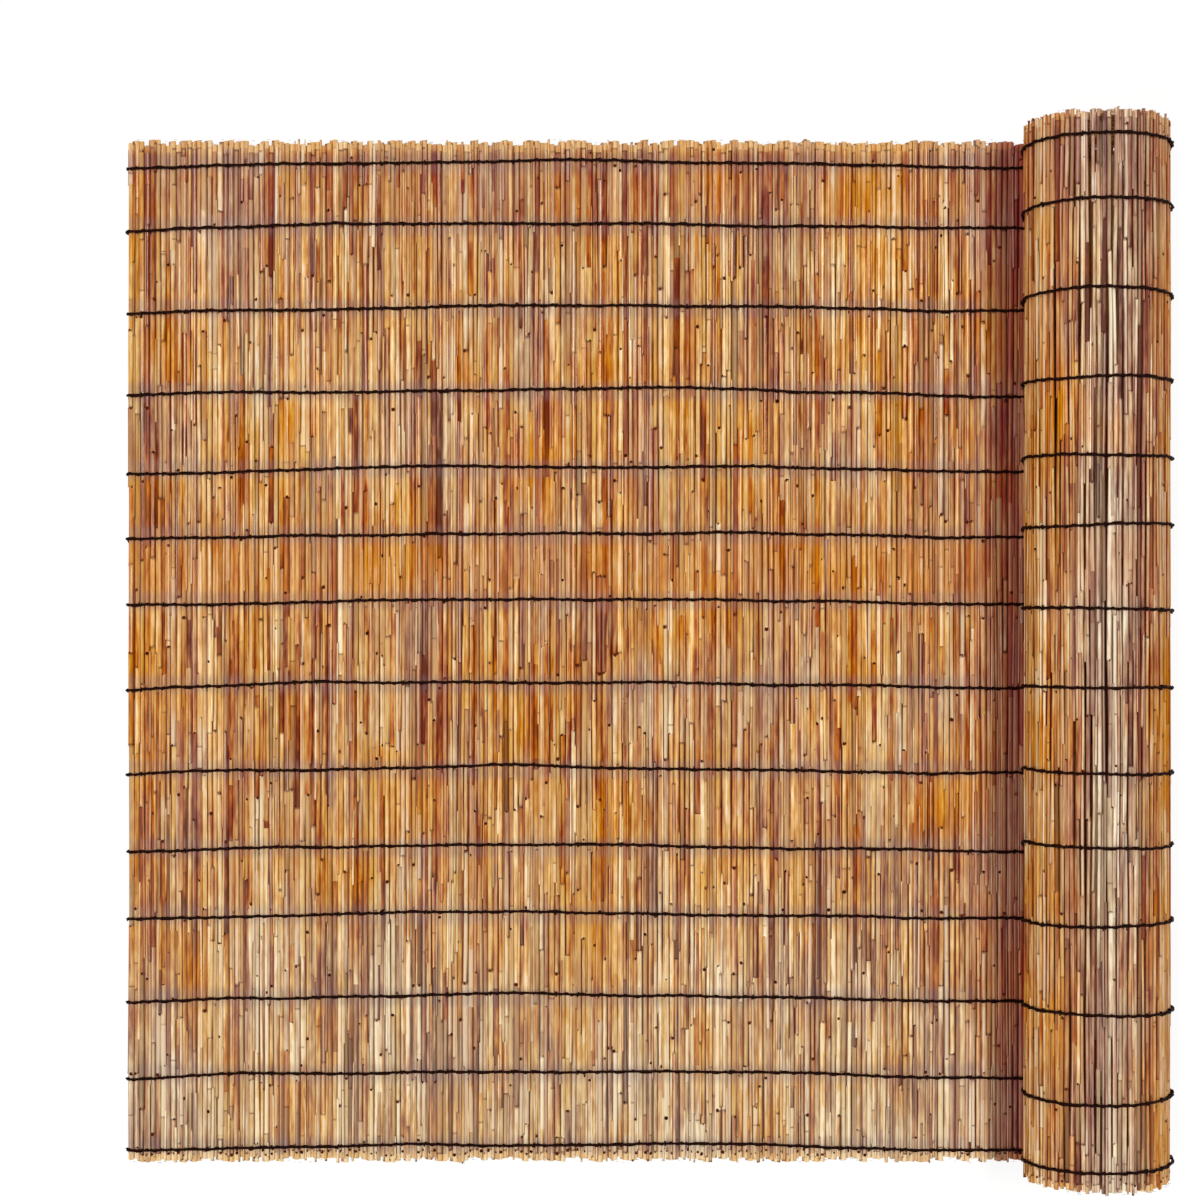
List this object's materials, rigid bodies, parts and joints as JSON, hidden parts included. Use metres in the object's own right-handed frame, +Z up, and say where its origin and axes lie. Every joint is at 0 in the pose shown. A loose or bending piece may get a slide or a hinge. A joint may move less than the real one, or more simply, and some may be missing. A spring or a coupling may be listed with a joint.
{
  "type": "reed screening mat",
  "caption": "Screen of natural reeds laid side by side and bound by rows of dark wire, lying partly unrolled with the rest in a roll at one end; tied to a fence for privacy.",
  "frame": {"origin": "middle of the footprint, on the floor that the mat lies on", "axes": "+X along the binding wires, from the free edge to the roll; +Y along the reeds, to the mat's upper edge; +Z up from the floor"},
  "size_m": [1.0024, 1, 0.1425],
  "materials": {
    "reed": "dry natural stalk, satin",
    "wire": "dark coated, satin"
  },
  "bodies": {
    "root": {"lower_wire_01": "wire", "lower_wire_02": "wire", "lower_wire_03": "wire", "lower_wire_04": "wire", "lower_wire_05": "wire", "lower_wire_06": "wire", "lower_wire_07": "wire", "lower_wire_08": "wire", "lower_wire_09": "wire", "lower_wire_10": "wire", "lower_wire_11": "wire", "lower_wire_12": "wire", "lower_wire_13": "wire", "lower_wire_14": "wire", "reed_strip_01": "reed", "reed_strip_02": "reed", "reed_strip_03": "reed", "reed_strip_04": "reed", "reed_strip_05": "reed", "reed_strip_06": "reed", "reed_strip_07": "reed", "reed_strip_08": "reed", "reed_strip_09": "reed", "reed_strip_10": "reed", "reed_strip_11": "reed", "reed_strip_12": "reed", "reed_strip_13": "reed", "reed_strip_14": "reed", "reed_strip_15": "reed", "reed_strip_16": "reed", "reed_strip_17": "reed", "reed_strip_18": "reed", "reed_strip_19": "reed", "reed_strip_20": "reed", "reed_strip_21": "reed", "reed_strip_22": "reed", "reed_strip_23": "reed", "rolled_turns": "reed", "upper_wire_01": "wire", "upper_wire_02": "wire", "upper_wire_03": "wire", "upper_wire_04": "wire", "upper_wire_05": "wire", "upper_wire_06": "wire", "upper_wire_07": "wire", "upper_wire_08": "wire", "upper_wire_09": "wire", "upper_wire_10": "wire", "upper_wire_11": "wire", "upper_wire_12": "wire", "upper_wire_13": "wire", "upper_wire_14": "wire"}
  },
  "joints": []
}
